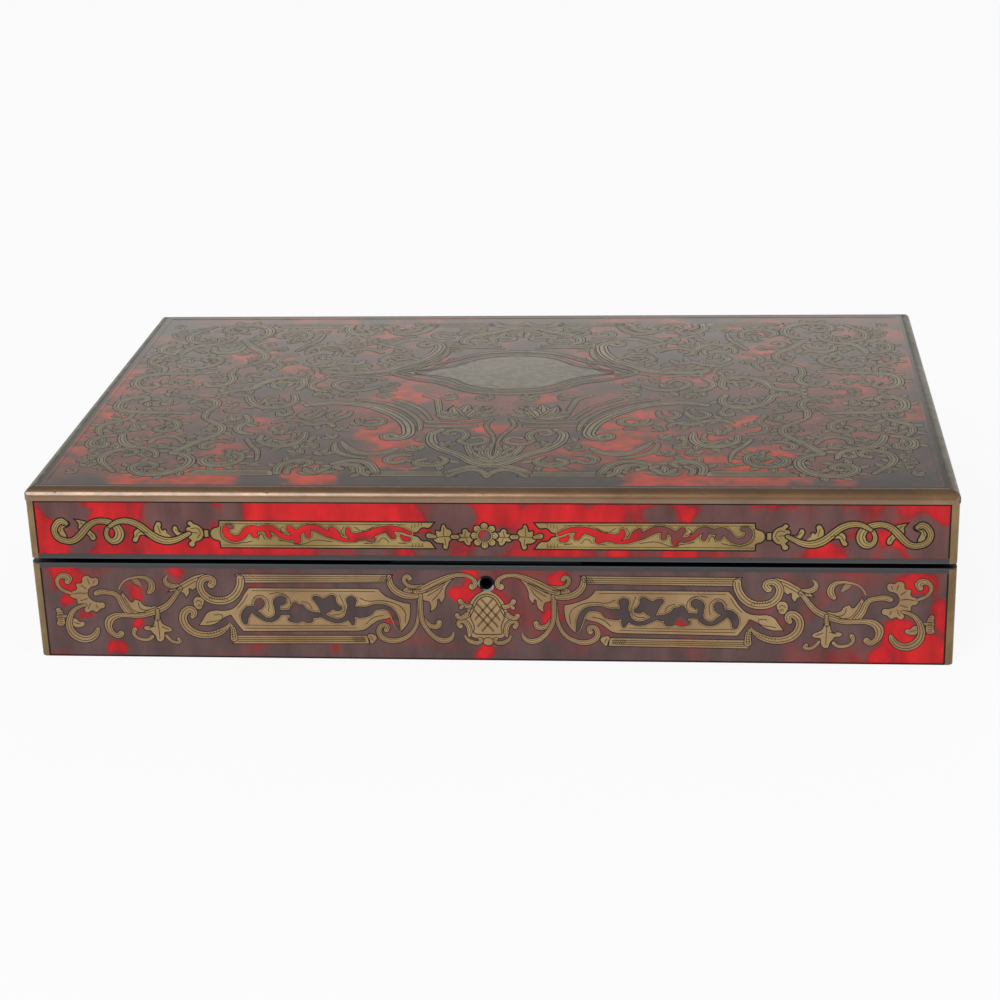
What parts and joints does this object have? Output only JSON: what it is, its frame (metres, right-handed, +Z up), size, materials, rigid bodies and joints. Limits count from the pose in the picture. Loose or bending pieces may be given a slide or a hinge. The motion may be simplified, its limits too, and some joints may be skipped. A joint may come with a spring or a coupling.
{
  "type": "games box",
  "caption": "Shallow hinged games box in tortoiseshell and brass marquetry with brass edges, a lock, card wells and lidded counter boxes inside.",
  "frame": {"origin": "centre of the box's underside, on the table", "axes": "+X along the front towards the right, +Y from front to back, +Z up"},
  "size_m": [0.3206, 0.2126, 0.0636],
  "materials": {
    "tortoiseshell": "French polished red-backed shell",
    "ebonised_wood": "black, waxed",
    "polished_brass": "worn bright",
    "aged_brass": "aged, tarnished in the hollows",
    "lock_steel": "filed, greyed",
    "rosewood": "polished",
    "carcass_wood": "bare"
  },
  "bodies": {
    "base": {"base_bottom_board": "carcass_wood", "base_front_wall": "carcass_wood", "base_back_wall": "carcass_wood", "base_left_wall": "carcass_wood", "base_right_wall": "carcass_wood", "base_front_marquetry": "tortoiseshell", "base_back_marquetry": "tortoiseshell", "base_left_marquetry": "tortoiseshell", "base_right_marquetry": "tortoiseshell", "base_rim_caps": "ebonised_wood", "base_corner_strips": "aged_brass", "base_liner_slips": "rosewood", "base_floor_veneer": "rosewood", "base_divider_left": "rosewood", "base_divider_right": "rosewood", "base_divider_cross": "rosewood", "counter_box_front_left": "rosewood", "counter_box_back_left": "rosewood", "counter_box_front_right": "rosewood", "counter_box_back_right": "rosewood", "counter_lid_front_left": "tortoiseshell", "counter_lid_back_left": "tortoiseshell", "counter_lid_front_right": "tortoiseshell", "counter_lid_back_right": "tortoiseshell", "hinge_base_leaf_left": "aged_brass", "hinge_base_leaf_right": "aged_brass", "hinge_pin_left": "aged_brass", "hinge_pin_right": "aged_brass", "hinge_base_screws": "aged_brass", "lock_case": "lock_steel", "lock_back_plate": "lock_steel", "lock_spring": "lock_steel", "lock_screws": "aged_brass", "keyhole_bush": "aged_brass"},
    "bolt": {"lock_bolt": "lock_steel"},
    "lid": {"lid_top_board": "carcass_wood", "lid_front_rail": "carcass_wood", "lid_back_rail": "carcass_wood", "lid_left_rail": "carcass_wood", "lid_right_rail": "carcass_wood", "lid_top_marquetry": "tortoiseshell", "lid_front_marquetry": "tortoiseshell", "lid_back_marquetry": "tortoiseshell", "lid_left_marquetry": "tortoiseshell", "lid_right_marquetry": "tortoiseshell", "lid_top_border": "ebonised_wood", "lid_rim_caps": "ebonised_wood", "lid_corner_strips": "aged_brass", "lid_moulding_front": "polished_brass", "lid_moulding_back": "polished_brass", "lid_moulding_left": "polished_brass", "lid_moulding_right": "polished_brass", "moulding_pins": "aged_brass", "lid_ceiling_veneer": "rosewood", "hinge_lid_leaf_left": "aged_brass", "hinge_lid_leaf_right": "aged_brass", "hinge_lid_screws": "aged_brass", "strike_plate": "lock_steel", "strike_screws": "aged_brass"}
  },
  "joints": [
    {"name": "lid_hinge", "type": "hinge", "parent": "base", "child": "lid", "pos_m": [0, 0.1056, 0.0368], "axis": [-1, 0, 0], "range_deg": [0, 100]},
    {"name": "bolt_slide", "type": "slide", "parent": "base", "child": "bolt", "axis": [1, 0, 0], "range_m": [0, 0.004]}
  ]
}
